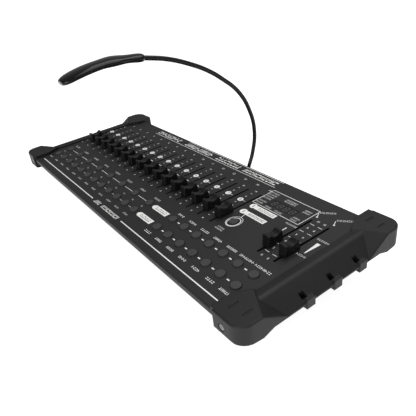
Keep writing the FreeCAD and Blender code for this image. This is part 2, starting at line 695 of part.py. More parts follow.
def audio_socket():
    nut = pin_y(AUDIO_X, SOCKET_Z, REAR_WALL, FLANGE_FACE, AUDIO_NUT_R + 1.5)
    socket = nut.fuse(pin_y(AUDIO_X, SOCKET_Z, REAR_WALL - 8, REAR_WALL, AUDIO_NUT_R))
    sleeve = pin_y(AUDIO_X, SOCKET_Z, FLANGE_FACE, FLANGE_FACE + AUDIO_SLEEVE, AUDIO_SLEEVE_R)
    return socket.fuse(sleeve).cut(pin_y(AUDIO_X, SOCKET_Z, FLANGE_FACE,
                                         FLANGE_FACE + AUDIO_SLEEVE + 1, 1.6))


def power_inlet():
    flange = pin_y(INLET_X, SOCKET_Z, REAR_WALL, FLANGE_FACE, INLET_R + 1.5)
    inlet = flange.fuse(pin_y(INLET_X, SOCKET_Z, REAR_WALL - 12, REAR_WALL, INLET_R))
    return inlet.cut(ring_groove(INLET_X, SOCKET_Z, 2.8, 1.05, 9.5))


def switch_housing():
    width, height = ROCKER_FRAME
    frame = box(SWITCH_X - width / 2 - 1.5, SWITCH_X + width / 2 + 1.5, REAR_WALL, FLANGE_FACE,
                SOCKET_Z - height / 2 - 1.5, SOCKET_Z + height / 2 + 1.5)
    shell = box(SWITCH_X - width / 2, SWITCH_X + width / 2, REAR_WALL - 14, REAR_WALL,
                SOCKET_Z - height / 2, SOCKET_Z + height / 2)
    room_x = ROCKER_WIDTH / 2 + KEY_GAP
    room_z = ROCKER_R + KEY_GAP
    cavity = box(SWITCH_X - room_x, SWITCH_X + room_x, FLANGE_FACE - 9, FLANGE_FACE + 1,
                 SOCKET_Z - room_z, SOCKET_Z + room_z)
    bore = Part.makeCylinder(PIVOT_R + RUNNING, 2 * room_x + 2,
                             Vec(SWITCH_X - room_x - 1, ROCKER_PIVOT_Y, SOCKET_Z), Vec(1, 0, 0))
    return frame.fuse(shell).cut(cavity).cut(bore)


def power_rocker():
    half = ROCKER_WIDTH / 2
    drum = Part.makeCylinder(ROCKER_R, ROCKER_WIDTH, Vec(SWITCH_X - half, ROCKER_PIVOT_Y, SOCKET_Z),
                             Vec(1, 0, 0))
    rise = ROCKER_FACE * math.tan(math.radians(ROCKER_TILT))
    wing = [(ROCKER_PIVOT_Y - 1.5, SOCKET_Z - ROCKER_R - 1),
            (ROCKER_PIVOT_Y + ROCKER_FACE + 1, SOCKET_Z - ROCKER_R - 1),
            (ROCKER_PIVOT_Y + ROCKER_FACE - 3 * rise + 1, SOCKET_Z),
            (ROCKER_PIVOT_Y + ROCKER_FACE + 1, SOCKET_Z + ROCKER_R + 1),
            (ROCKER_PIVOT_Y - 1.5, SOCKET_Z + ROCKER_R + 1)]
    rocker = drum.common(prism(wing, "x", SWITCH_X - half, SWITCH_X + half))
    pivot = Part.makeCylinder(PIVOT_R, ROCKER_WIDTH + 2 * KEY_GAP + 1,
                              Vec(SWITCH_X - half - KEY_GAP - 0.5, ROCKER_PIVOT_Y, SOCKET_Z),
                              Vec(1, 0, 0))
    rocker = rocker.fuse(pivot)
    rocker.rotate(Vec(SWITCH_X, ROCKER_PIVOT_Y, SOCKET_Z), Vec(1, 0, 0), ROCKER_TILT)
    return rocker


# ---- lamp ----
def lamp_socket():
    flange = pin_y(LAMP_X, LAMP_Z, REAR_WALL, FLANGE_FACE, LAMP_FLANGE_R)
    socket = flange.fuse(pin_y(LAMP_X, LAMP_Z, REAR_WALL - 8, REAR_WALL, LAMP_SOCKET_R))
    return socket.cut(pin_y(LAMP_X, LAMP_Z, FLANGE_FACE - SPIGOT_LENGTH, FLANGE_FACE + 1,
                            SPIGOT_R + RUNNING))


def lamp_point(place):
    return Vec(LAMP_X, FLANGE_FACE + place[0], place[1])


def lamp_plug():
    root = lamp_point(NECK_ROOT)
    face = FLANGE_FACE + PLUG_GAP
    elbow_y = root.y - PLUG_R * 0.5
    spigot = pin_y(LAMP_X, LAMP_Z, face - SPIGOT_LENGTH + PLUG_GAP, face, SPIGOT_R)
    barrel = pin_y(LAMP_X, LAMP_Z, face, elbow_y, PLUG_R)
    elbow = Part.makeSphere(PLUG_R, Vec(LAMP_X, elbow_y, LAMP_Z))
    rise = root - Vec(LAMP_X, elbow_y, LAMP_Z)
    collar = Part.makeCone(PLUG_R - 0.6, NECK_R + 1.4, rise.Length, Vec(LAMP_X, elbow_y, LAMP_Z),
                           rise)
    body = fuse([spigot, barrel, elbow, collar])
    return body.cut(Part.makeSphere(NECK_R + BALL_GAP, root))


def neck_path(line):
    """Straight runs joined by tangent arcs, each as large as its two runs allow."""
    points = [lamp_point(place) for place in line]
    edges = []
    start = points[0]
    for before, here, after in zip(points, points[1:], points[2:]):
        back = (before - here).normalize()
        ahead = (after - here).normalize()
        reach = 0.45 * min((before - here).Length, (after - here).Length)
        half_angle = back.getAngle(ahead) / 2
        bisector = (back + ahead).normalize()
        radius = reach * math.tan(half_angle)
        middle = here + bisector * (radius / math.sin(half_angle) - radius)
        arc_start = here + back * reach
        arc_end = here + ahead * reach
        edges.append(Part.makeLine(start, arc_start))
        edges.append(Part.Arc(arc_start, middle, arc_end).toShape())
        start = arc_end
    edges.append(Part.makeLine(start, points[-1]))
    return Part.Wire(edges)


def tube(line, radius):
    path = neck_path(line)
    start = lamp_point(line[0])
    ahead = lamp_point(line[1]) - start
    circle = Part.Wire(Part.makeCircle(radius, start, ahead))
    swept = path.makePipeShell([circle], True, False)
    if abs(swept.Volume - math.pi * radius ** 2 * path.Length) > 0.02 * abs(swept.Volume):
        print("neck volume differs from its section times its length")
    return swept


def neck_piece(line):
    """A run of neck with a round end in the next piece and a hollow end round the last."""
    body = tube(line, NECK_R).fuse(Part.makeSphere(NECK_R, lamp_point(line[-1])))
    return body


def neck_lower():
    ball = Part.makeSphere(NECK_R, lamp_point(NECK_ROOT))
    return fuse([neck_piece(NECK_LOWER_LINE), ball])


def neck_upper():
    hollow = Part.makeSphere(NECK_R + BALL_GAP, lamp_point(NECK_UPPER_LINE[0]))
    return neck_piece(NECK_UPPER_LINE).cut(hollow)


def head_form():
    """The whole paddle-shaped head, lofted through ellipses along its line."""
    sections = []
    points = [lamp_point(place) for place in HEAD_LINE]
    for i, (point, (wide, thick)) in enumerate(zip(points, HEAD_SHAPE)):
        ahead = points[min(i + 1, len(points) - 1)] - points[max(i - 1, 0)]
        ahead.normalize()
        up = Vec(0, ahead.z, -ahead.y)
        major = HEAD_WIDTH * wide / 2
        minor = HEAD_THICK * thick / 2
        ellipse = Part.Ellipse(point + Vec(major, 0, 0), point + up * minor, point)
        sections.append(Part.Wire(ellipse.toShape()))
    return Part.makeLoft(sections, True, False)


def lens_zone():
    """The part of the head, along its underside, that the lens fills."""
    drop = HEAD_THICK / 2 - LENS_THICK
    middle = [lamp_point(place) for place in HEAD_LINE[3:-2]]
    above = [(point.y, point.z - drop) for point in middle]
    below = [(point.y, point.z - HEAD_THICK) for point in reversed(middle)]
    half = HEAD_WIDTH * LENS_SHARE / 2
    return prism(above + below, "x", LAMP_X - half, LAMP_X + half)


def lamp_shell():
    hollow = Part.makeSphere(NECK_R + BALL_GAP, lamp_point(HEAD_LINE[0]))
    return head_form().cut(lens_zone()).cut(hollow)


def lamp_lens():
    return head_form().common(lens_zone())


def build_nodes():
    cap = end_cap()
    nodes = {
        "top_panel": top_panel(),
        "base_tray": base_tray(),
        "right_end_cap": cap,
        "left_end_cap": mirror_x(cap),
        "case_screws": case_screws(),
        "rubber_feet": rubber_feet(),
        "circuit_board": circuit_board(),
        "fader_tracks": fader_tracks(),
        "key_switches": key_switches(),
        "indicator_leds": indicator_leds(),
        "display_window": display_window(),
        "display_module": display_module(),
        "dmx_output_sockets": dmx_sockets(),
        "midi_socket": midi_socket(),
        "audio_socket": audio_socket(),
        "power_inlet": power_inlet(),
        "power_switch_housing": switch_housing(),
        "power_rocker": power_rocker(),
        "lamp_socket": lamp_socket(),
        "lamp_plug": lamp_plug(),
        "lamp_neck_lower": neck_lower(),
        "lamp_neck_upper": neck_upper(),
        "lamp_shell": lamp_shell(),
        "lamp_lens": lamp_lens(),
        "scene_keys": Part.makeCompound([key(x, s) for x, s in scene_places()]),
        "fixture_keys": Part.makeCompound([key(x, s) for x, s in fixture_places()]),
    }
    for name, x in fader_places():
        nodes[name] = fader(x)
    for name, x, s in function_places():
        nodes[name] = key(x, s)
    return nodes


def origin_of(nodes):
    """Middle of the floor area that the whole object covers."""
    whole = FreeCAD.BoundBox()
    for shape in nodes.values():
        whole.add(shape.optimalBoundingBox(False, False))
    return Vec((whole.XMin + whole.XMax) / 2, (whole.YMin + whole.YMax) / 2, whole.ZMin)


def main():
    nodes = build_nodes()
    origin = origin_of(nodes)
    os.makedirs("parts", exist_ok=True)
    for name, shape in nodes.items():
        placed = shape.copy()
        placed.translate(origin * -1)
        placed.exportStep("parts/%s.step" % name)
        solids = placed.Solids
        if not placed.isValid() or not solids:
            print("check", name, "valid", placed.isValid(), "solids", len(solids))
    print("nodes", len(nodes), "origin in the floor frame", [round(v, 4) for v in origin])
    return origin


ORIGIN = main()
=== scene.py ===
import json
import math

import bmesh
import bpy
from mathutils import Matrix, Vector


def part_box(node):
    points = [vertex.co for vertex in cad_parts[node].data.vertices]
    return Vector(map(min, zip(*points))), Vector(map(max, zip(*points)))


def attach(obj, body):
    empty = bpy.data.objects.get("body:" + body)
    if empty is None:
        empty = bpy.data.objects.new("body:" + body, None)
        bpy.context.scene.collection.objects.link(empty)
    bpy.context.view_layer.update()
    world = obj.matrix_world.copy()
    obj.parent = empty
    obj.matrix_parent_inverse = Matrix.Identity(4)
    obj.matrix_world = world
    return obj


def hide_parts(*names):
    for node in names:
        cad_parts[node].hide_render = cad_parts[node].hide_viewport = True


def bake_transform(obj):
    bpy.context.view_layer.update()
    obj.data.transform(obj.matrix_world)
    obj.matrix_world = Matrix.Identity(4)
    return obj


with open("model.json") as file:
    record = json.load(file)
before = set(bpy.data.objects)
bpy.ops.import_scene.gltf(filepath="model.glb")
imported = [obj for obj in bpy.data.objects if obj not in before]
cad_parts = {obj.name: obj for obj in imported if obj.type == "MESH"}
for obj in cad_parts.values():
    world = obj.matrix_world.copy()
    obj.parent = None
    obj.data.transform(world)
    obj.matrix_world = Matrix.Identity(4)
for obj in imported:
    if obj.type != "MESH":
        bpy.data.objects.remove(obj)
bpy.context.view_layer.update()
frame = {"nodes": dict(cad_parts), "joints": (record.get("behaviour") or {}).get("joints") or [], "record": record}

nodes = frame["nodes"]
mm = 0.001
print("frame loaded:", len(nodes), "nodes")

# The sloping panel has its own directions, in mm: x along the desk, s up the slope from the
# front printed line, h off the surface. The display window's middle ties it to the frame.
windowMiddle = Vector((138.0, 128.0, -0.7))
slideAxis = [j["axis"] for j in frame["joints"] if j["name"] == "speed_fader_slide"][0]
slopeAngle = math.atan2(slideAxis[2], slideAxis[1])
windowLow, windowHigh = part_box("display_window")
tiltScale = Matrix.Rotation(slopeAngle, 4, "X") @ Matrix.Scale(mm, 4)
panelStart = (windowLow + windowHigh) / 2 - tiltScale @ windowMiddle
onPanel = Matrix.Translation(panelStart) @ tiltScale


def middleOf(node):
    low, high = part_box(node)
    return (low + high) / 2


def inPanel(point):
    return onPanel.inverted() @ point


def makePiece(name, bm, material, body="root", smooth=False):
    mesh = bpy.data.meshes.new(name)
    bm.to_mesh(mesh)
    bm.free()
    for face in mesh.polygons:
        face.use_smooth = smooth
    mesh.materials.append(material)
    piece = bpy.data.objects.new(name, mesh)
    bpy.context.scene.collection.objects.link(piece)
    if body:
        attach(piece, body)
    return piece


# shader groups: named inputs and outputs, each used by several materials
def newGroup(name, inputs, outputs):
    group = bpy.data.node_groups.new(name, "ShaderNodeTree")
    for label, kind, value in inputs:
        socket = group.interface.new_socket(label, in_out="INPUT", socket_type=kind)
        socket.default_value = value
    for label, kind in outputs:
        group.interface.new_socket(label, in_out="OUTPUT", socket_type=kind)
    return group, group.nodes.new("NodeGroupInput"), group.nodes.new("NodeGroupOutput")


def addNode(tree, kind, **values):
    node = tree.nodes.new(kind)
    for key, value in values.items():
        if key in node.inputs:
            node.inputs[key].default_value = value
        else:
            setattr(node, key, value)
    return node


def makeGrainGroup():
    # pebbled grain of powder coat or moulded plastic, with a little colour and gloss change
    group, source, result = newGroup("grain", [
        ("Colour", "NodeSocketColor", (0.03, 0.03, 0.03, 1)), ("Size", "NodeSocketFloat", 0.5),
        ("Roughness", "NodeSocketFloat", 0.5), ("Depth", "NodeSocketFloat", 0.05),
        ("Mottle", "NodeSocketFloat", 0.1)],
        [("Colour", "NodeSocketColor"), ("Roughness", "NodeSocketFloat"),
         ("Height", "NodeSocketFloat")])
    link = group.links.new
    place = addNode(group, "ShaderNodeTexCoord")
    scale = addNode(group, "ShaderNodeMath", operation="DIVIDE")
    scale.inputs[0].default_value = 1000
    link(source.outputs["Size"], scale.inputs[1])
    fine = addNode(group, "ShaderNodeTexNoise", Detail=3.0, Roughness=0.6)
    link(place.outputs["Object"], fine.inputs["Vector"])
    link(scale.outputs[0], fine.inputs["Scale"])
    broad = addNode(group, "ShaderNodeTexNoise", Scale=38.0, Detail=4.0, Roughness=0.65)
    link(place.outputs["Object"], broad.inputs["Vector"])
    height = addNode(group, "ShaderNodeMath", operation="MULTIPLY")
    link(fine.outputs["Fac"], height.inputs[0])
    link(source.outputs["Depth"], height.inputs[1])
    link(height.outputs[0], result.inputs["Height"])
    both = addNode(group, "ShaderNodeMath", operation="ADD")
    link(fine.outputs["Fac"], both.inputs[0])
    link(broad.outputs["Fac"], both.inputs[1])
    centred = addNode(group, "ShaderNodeMath", operation="SUBTRACT")
    link(both.outputs[0], centred.inputs[0])
    centred.inputs[1].default_value = 1.0
    amount = addNode(group, "ShaderNodeMath", operation="MULTIPLY")
    link(centred.outputs[0], amount.inputs[0])
    link(source.outputs["Mottle"], amount.inputs[1])
    shade = addNode(group, "ShaderNodeMath", operation="MULTIPLY_ADD")
    link(amount.outputs[0], shade.inputs[0])
    shade.inputs[1].default_value = 2.0
    shade.inputs[2].default_value = 1.0
    colour = addNode(group, "ShaderNodeVectorMath", operation="SCALE")
    link(source.outputs["Colour"], colour.inputs[0])
    link(shade.outputs[0], colour.inputs["Scale"])
    link(colour.outputs[0], result.inputs["Colour"])
    gloss = addNode(group, "ShaderNodeMath", operation="MULTIPLY_ADD", use_clamp=True)
    link(amount.outputs[0], gloss.inputs[0])
    gloss.inputs[1].default_value = 0.8
    link(source.outputs["Roughness"], gloss.inputs[2])
    link(gloss.outputs[0], result.inputs["Roughness"])
    return group


grainGroup = makeGrainGroup()


def grainMaterial(name, look):
    material = bpy.data.materials.new(name)
    material.use_nodes = True
    tree = material.node_tree
    shader = tree.nodes["Principled BSDF"]
    shader.inputs["Metallic"].default_value = look.get("metal", 0.0)
    shader.inputs["Specular IOR Level"].default_value = look.get("specular", 0.5)
    shader.inputs["Coat Weight"].default_value = look.get("coat", 0.0)
    shader.inputs["Coat Roughness"].default_value = look.get("coatRoughness", 0.1)
    grain = tree.nodes.new("ShaderNodeGroup")
    grain.node_tree = grainGroup
    grain.inputs["Colour"].default_value = (*look["colour"], 1)
    grain.inputs["Size"].default_value = look["grain"]
    grain.inputs["Roughness"].default_value = look["roughness"]
    grain.inputs["Depth"].default_value = look["depth"]
    grain.inputs["Mottle"].default_value = look["mottle"]
    bump = addNode(tree, "ShaderNodeBump", Distance=0.001, Strength=look.get("bump", 0.5))
    if "soft" in look:    # moulded edges catch the light as if rounded by this many metres
        rounded = addNode(tree, "ShaderNodeBevel", Radius=look["soft"])
        tree.links.new(rounded.outputs["Normal"], bump.inputs["Normal"])
    tree.links.new(grain.outputs["Colour"], shader.inputs["Base Color"])
    tree.links.new(grain.outputs["Roughness"], shader.inputs["Roughness"])
    tree.links.new(grain.outputs["Height"], bump.inputs["Height"])
    tree.links.new(bump.outputs["Normal"], shader.inputs["Normal"])
    return material


# each finish: grain size in mm, depth in mm, mottle as a share of the colour
finishes = {
    "panelPaint": {"colour": (0.0115, 0.0115, 0.012), "grain": 0.55, "roughness": 0.55,
                   "depth": 0.06, "mottle": 0.3, "specular": 0.3},
    "casePaint": {"colour": (0.012, 0.012, 0.013), "grain": 0.6, "roughness": 0.5,
                  "depth": 0.08, "mottle": 0.25, "specular": 0.35},
    "capPlastic": {"colour": (0.0055, 0.0055, 0.0058), "grain": 0.35, "roughness": 0.52,
                   "depth": 0.03, "mottle": 0.2, "specular": 0.3, "soft": 0.0016},
    "knobPlastic": {"colour": (0.003, 0.003, 0.0033), "grain": 0.3, "roughness": 0.45,
                    "depth": 0.02, "mottle": 0.2, "specular": 0.25, "soft": 0.0008},
    "keyRubber": {"colour": (0.038, 0.038, 0.039), "grain": 0.3, "roughness": 0.6,
                  "depth": 0.02, "mottle": 0.2, "specular": 0.3},
    "screwSteel": {"colour": (0.22, 0.22, 0.22), "grain": 0.4, "roughness": 0.35,
                   "depth": 0.01, "mottle": 0.2, "metal": 1.0},
    "printInk": {"colour": (0.78, 0.78, 0.77), "grain": 0.25, "roughness": 0.55,
                 "depth": 0.02, "mottle": 0.12},
    "greyInk": {"colour": (0.55, 0.55, 0.55), "grain": 0.25, "roughness": 0.55,
                "depth": 0.02, "mottle": 0.25},
    "ghostInk": {"colour": (0.09, 0.09, 0.09), "grain": 0.25, "roughness": 0.3,
                 "depth": 0.0, "mottle": 0.1, "specular": 0.3},
    "lampGloss": {"colour": (0.004, 0.004, 0.0045), "grain": 1.5, "roughness": 0.12,
                  "depth": 0.004, "mottle": 0.1, "specular": 0.2},
    "neckCoating": {"colour": (0.003, 0.003, 0.003), "grain": 0.5, "roughness": 0.35,
                    "depth": 0.02, "mottle": 0.2, "specular": 0.25},
    "windowAcrylic": {"colour": (0.012, 0.012, 0.012), "grain": 2.0, "roughness": 0.25,
                      "depth": 0.0, "mottle": 0.05, "specular": 0.2},
    "boardLaminate": {"colour": (0.01, 0.09, 0.03), "grain": 0.8, "roughness": 0.35,
                      "depth": 0.01, "mottle": 0.2},
    "footRubber": {"colour": (0.015, 0.015, 0.015), "grain": 0.5, "roughness": 0.75,
                   "depth": 0.03, "mottle": 0.2},
    "ledPlastic": {"colour": (0.14, 0.14, 0.135), "grain": 1.0, "roughness": 0.3,
                   "depth": 0.0, "mottle": 0.1, "coat": 0.4},
    "lensPlastic": {"colour": (0.7, 0.71, 0.69), "grain": 0.6, "roughness": 0.35,
                    "depth": 0.01, "mottle": 0.05},
}
materials = {name: grainMaterial(name, look) for name, look in finishes.items()}
print("materials made:", len(materials))


# the carried-over nodes keep their shapes and get these finishes, by the record's slots
slotFinish = {
    "panel_paint": "panelPaint", "case_paint": "casePaint", "cap_plastic": "capPlastic",
    "knob_plastic": "knobPlastic", "key_rubber": "keyRubber", "screw_steel": "screwSteel",
    "foot_rubber": "footRubber", "board_laminate": "boardLaminate", "track_steel": "screwSteel",
    "switch_plastic": "knobPlastic", "led_plastic": "ledPlastic",
    "window_acrylic": "windowAcrylic", "module_plastic": "casePaint",
    "socket_plastic": "knobPlastic", "socket_nickel": "screwSteel",
    "rocker_plastic": "lampGloss", "plug_plastic": "knobPlastic",
    "neck_coating": "neckCoating", "lamp_gloss": "lampGloss", "lens_plastic": "lensPlastic",
}
for part in frame["record"]["subparts"]:
    mesh = nodes[part["node"]].data
    mesh.materials.clear()
    mesh.materials.append(materials[slotFinish[part["material_slot"]]])
print("finishes given to the frame's nodes")


# print on the panel: every mark is a thin slab of ink, in panel mm
ink = {"thick": 0.07, "sunk": 0.02, "overprint": 0.05, "middle": 0.015}


def addBar(bm, x, s, width, depth, lean=0.0, turn=0.0, lift=0.0):
    shear = Matrix.Identity(4)
    shear[0][1] = lean
    place = Matrix.Translation((x, s, ink["middle"] + lift))
    place = place @ Matrix.Rotation(turn, 4, "Z") @ shear
    place = place @ Matrix.Diagonal((width, depth, ink["thick"], 1))
    bmesh.ops.create_cube(bm, size=1, matrix=place)


def addSpan(bm, x0, x1, s, depth):
    addBar(bm, (x0 + x1) / 2, s, x1 - x0, depth)


def addDisc(bm, x, s, radius, segments=28):
    place = Matrix.Translation((x, s, ink["middle"]))
    bmesh.ops.create_cone(bm, cap_ends=True, segments=segments, radius1=radius, radius2=radius,
                          depth=ink["thick"], matrix=place)


def thickenInk(bm, faces):
    pushed = bmesh.ops.extrude_face_region(bm, geom=faces)["geom"]
    raised = [g for g in pushed if isinstance(g, bmesh.types.BMVert)]
    bmesh.ops.translate(bm, vec=(0, 0, ink["thick"]), verts=raised)


def addRing(bm, x, s, halfWidth, halfDepth, stroke, segments=48):
    base = Matrix.Translation((x, s, -ink["sunk"]))
    loops = []
    for inset in (0, stroke):
        size = Matrix.Diagonal((halfWidth - inset, halfDepth - inset, 1, 1))
        made = bmesh.ops.create_circle(bm, segments=segments, radius=1, matrix=base @ size)
        loops.append({e for v in made["verts"] for e in v.link_edges})
    flat = bmesh.ops.bridge_loops(bm, edges=list(loops[0] | loops[1]))["faces"]
    thickenInk(bm, flat)


def addOutline(bm, corners):
    bottom = [bm.verts.new((x, s, -ink["sunk"])) for x, s in corners]
    thickenInk(bm, [bm.faces.new(bottom)])


def addFrame(bm, x0, x1, s0, s1, stroke):
    addSpan(bm, x0, x1, s0, stroke)
    addSpan(bm, x0, x1, s1, stroke)
    for x in (x0, x1):
        addBar(bm, x, (s0 + s1) / 2, stroke, s1 - s0 - stroke)


def addNumber(bm, text, x, s, height, lift=0.0, capShare=0.7):
    curve = bpy.data.curves.new("number", "FONT")
    curve.body = text
    curve.size = height / capShare    # figures fill this share of the type size
    curve.align_x = "CENTER"
    curve.align_y = "CENTER"
    curve.extrude = ink["thick"] / 2
    curve.resolution_u = 3
    holder = bpy.data.objects.new("number", curve)
    mesh = bpy.data.meshes.new_from_object(holder)
    mesh.transform(Matrix.Translation((x, s, ink["middle"] + lift)))
    bm.from_mesh(mesh)
    bpy.data.meshes.remove(mesh)
    bpy.data.objects.remove(holder)
    bpy.data.curves.remove(curve)


# a word is stood for by a row of small marks, none of them a letter: each mark is a few bars,
# given by their middle and size as shares of the mark's own width and height
wordMarks = {"gap": 0.2, "share": 0.74, "bars": [
    [(0, 0.36, 1, 0.24), (0, -0.36, 1, 0.24)],
    [(-0.36, 0, 0.28, 1), (0.36, 0, 0.28, 1)],
    [(-0.36, 0, 0.28, 1), (0.2, 0, 0.55, 0.22)],
    [(0, -0.38, 1, 0.24), (0, 0.2, 0.28, 0.6)],
    [(-0.3, 0.26, 0.28, 0.42), (0.3, 0.26, 0.28, 0.42), (0, -0.36, 0.9, 0.24)],
]}


def addWord(bm, x, s, width, height, lean=0.0, turn=0.0, lift=0.0, aspect=0.72, seed=0):
    count = max(2, round(width / (height * (aspect + wordMarks["gap"]))))
    pitch = width / count
    markWidth = pitch * wordMarks["share"]
    along = Vector((math.cos(turn), math.sin(turn)))
    across = Vector((-along.y, along.x))
    for i in range(count):
        centre = Vector((x, s)) + along * (pitch * (i + 0.5) - width / 2)
        bars = wordMarks["bars"][(i * 2 + seed * 3 + i * i) % len(wordMarks["bars"])]
        for shiftX, shiftS, shareX, shareS in bars:
            spot = centre + along * (shiftX * markWidth + shiftS * height * lean)
            spot = spot + across * (shiftS * height)
            addBar(bm, spot.x, spot.y, markWidth * shareX, height * shareS, lean=lean, turn=turn,
                   lift=lift)


# the panel's rows and columns, in panel mm, which the printed marks go by
faderNodes = ["channel_fader_%02d" % (i + 1) for i in range(16)]
faderX = [inPanel(middleOf(name)).x for name in faderNodes]
rightX = [inPanel(middleOf(name)).x for name in ("speed_fader", "fade_time_fader")]
keyRows = {"lower": 20.8, "upper": 39.5}
sceneX = [-193.0 + 31.43 * i for i in range(8)]
fixtureX = [-193.0 + 20.0 * i for i in range(12)]
functionX = [74.0 + 20.0 * i for i in range(7)]
pageKey = Vector((121.5, 78.2))
scaleMarks = {"10": 132, "8": 118, "6": 104, "4": 90, "2": 76, "0": 62}    # place up the slope

# a word is its middle x and its width; a line is its two ends
frontLine = {"left": (-193, -31.5), "right": (36.6, 197.5), "stroke": 1.1,
             "words": ((-18.5, 13, 1), (11, 37, 2)), "height": 5.0, "lean": 0.2, "aspect": 0.5}


def printFrontLine(white):
    for end in ("left", "right"):
        addSpan(white, *frontLine[end], 0, frontLine["stroke"])
    for x, width, seed in frontLine["words"]:
        addWord(white, x, 0, width, frontLine["height"], lean=frontLine["lean"], seed=seed,
                aspect=frontLine["aspect"])


keyLabels = {"fixture": {"s": 10.2, "width": 9.0, "height": 1.9},
             "scene": {"s": 49.6, "width": 11.5, "height": 2.5},
             "front": {"s": 10.0, "widths": (10.5, 10.5, 10.5, 10.5, 10.5, 10.5, 15), "height": 2.6},
             "rear": {"s": 49.4, "widths": (10, 11, 12, 12, 13, 18, 18.5), "height": 2.5}}


def printKeyLabels(white, grey):
    row = keyLabels["fixture"]
    for i, x in enumerate(fixtureX):
        addWord(grey, x, row["s"], row["width"], row["height"], seed=i)
    row = keyLabels["front"]
    for i, (x, width) in enumerate(zip(functionX, row["widths"])):
        addWord(white, x, row["s"], width, row["height"], seed=i)
    row = keyLabels["scene"]
    for i, x in enumerate(sceneX):
        addWord(grey, x, row["s"], row["width"], row["height"], seed=i)
    row = keyLabels["rear"]
    for i, (x, width) in enumerate(zip(functionX, row["widths"])):
        addWord(white, x, row["s"], width, row["height"], seed=i + 3)


# dashes between neighbouring keys: their distance from the keys' middles, and their strokes
keyDashes = {"sceneClear": 6.8, "sceneStroke": 0.5, "fixtureClear": 7.6, "fixtureStroke": 0.4,
             "function": (3.0, 1.2)}


def printKeyDashes(white, grey):
    clear = keyDashes["sceneClear"]
    for a, b in zip(sceneX, sceneX[1:]):
        addSpan(white, a + clear, b - clear, keyRows["upper"], keyDashes["sceneStroke"])
    clear = keyDashes["fixtureClear"]
    for a, b in zip(fixtureX, fixtureX[1:]):
        addSpan(grey, a + clear, b - clear, keyRows["lower"], keyDashes["fixtureStroke"])
    for a, b in zip(functionX, functionX[1:]):
        for s in keyRows.values():
            addBar(white, (a + b) / 2, s, *keyDashes["function"])


# a tag is one flat outline: a box with a blunt point towards the numbered keys
keyTags = {"outline": [(38.2, -3.4), (63.0, -3.4), (63.0, 3.4), (38.2, 3.4), (35.4, 0.8),
                       (35.4, -0.8)],
           "word": (50.5, 19, 3.4), "aspect": 0.45}


def printKeyTags(white, dark):
    x, width, height = keyTags["word"]
    for s in keyRows.values():
        addOutline(white, [(cornerX, s + shift) for cornerX, shift in keyTags["outline"]])
        addWord(dark, x, s, width, height, lift=ink["overprint"], aspect=keyTags["aspect"])


# beside each channel fader: numbers, ticks, a badge with its lead line, and a dash under it
channelScale = {"shift": -10.2, "number": (143, 2.8), "height": 2.1, "ticks": (125.7, 83.7, 69.7),
                "tick": (2.4, 0.6), "badge": (110.6, 3.3), "figure": 3.2, "badgesInRow": 8,
                "lead": (5.4, 4.2, 0.45), "dash": (1.5, 97.4, 5.0, 0.9)}


def printChannelScales(white, grey, dark):
    numberS, numberHeight = channelScale["number"]
    badgeS, badgeRadius = channelScale["badge"]
    leadShift, *lead = channelScale["lead"]
    dashShift, dashS, *dash = channelScale["dash"]
    for i, x in enumerate(faderX):
        column = x + channelScale["shift"]
        addNumber(white, str(i + 1), x, numberS, numberHeight)
        for label, s in scaleMarks.items():
            addNumber(white, label, column, s, channelScale["height"])
        for s in channelScale["ticks"]:
            addBar(grey, column, s, *channelScale["tick"])
        addDisc(white, column, badgeS, badgeRadius)
        addNumber(dark, str(i % channelScale["badgesInRow"] + 1), column, badgeS,
                  channelScale["figure"], lift=ink["overprint"])
        addBar(white, column + leadShift, badgeS, *lead)
        addBar(white, column + dashShift, dashS, *dash)


# two tags, each a round badge with a box beside it, and the ring round the page key
pageTags = {"rows": (110.6, 97.4), "box": (117.4, 144.5, 6.2), "badge": (113.8, 4.0),
            "badgeMark": (0.9, 4.0), "word": (131.9, 22, 3.2), "aspect": 0.5}
pageRing = {"ring": (6.6, 7.8, 0.8), "arcShift": (-0.2, 0.8), "arc": (7.9, 9.2, 0.45),
            "leadShift": (-1.5, 13.5), "lead": (0.6, 9), "leadTurn": 0.25,
            "labels": ((-14.5, 9, 4), (-17.6, 11, 2)), "labelShift": -1, "labelHeight": 1.8}


def printPageTags(white, dark):
    x0, x1, depth = pageTags["box"]
    badgeX, badgeRadius = pageTags["badge"]
    wordX, width, height = pageTags["word"]
    for s in pageTags["rows"]:
        addDisc(white, badgeX, s, badgeRadius)
        addBar(dark, badgeX, s, *pageTags["badgeMark"], lift=ink["overprint"])
        addSpan(white, x0, x1, s, depth)
        addWord(dark, wordX, s, width, height, lift=ink["overprint"], aspect=pageTags["aspect"],
                seed=int(s))


def printPageRing(white, grey):
    addRing(white, *pageKey, *pageRing["ring"])
    addRing(white, *(pageKey + Vector(pageRing["arcShift"])), *pageRing["arc"])
    addBar(white, *(pageKey + Vector(pageRing["leadShift"])), *pageRing["lead"],
           turn=pageRing["leadTurn"])
    for shift, width, seed in pageRing["labels"]:
        addWord(grey, pageKey.x + pageRing["labelShift"], pageKey.y + shift, width,
                pageRing["labelHeight"], seed=seed)


# the title's words are middle, width, height and seed; its two lines are ends, place and stroke
title = {"s": 157.2, "lean": 0.25, "aspect": 0.62,
         "words": ((-115.5, 55, 7.2, 3), (-45, 58, 6.8, 1), (16, 44, 6.8, 5), (72, 54, 6.8, 2)),
         "lines": ((-144, 102, 151.0, 0.6), (-75, 103, 163.8, 0.7))}


def printTitle(white):
    for x, width, height, seed in title["words"]:
        addWord(white, x, title["s"], width, height, lean=title["lean"], aspect=title["aspect"],
                seed=seed)
    for x0, x1, s, stroke in title["lines"]:
        addSpan(white, x0, x1, s, stroke)


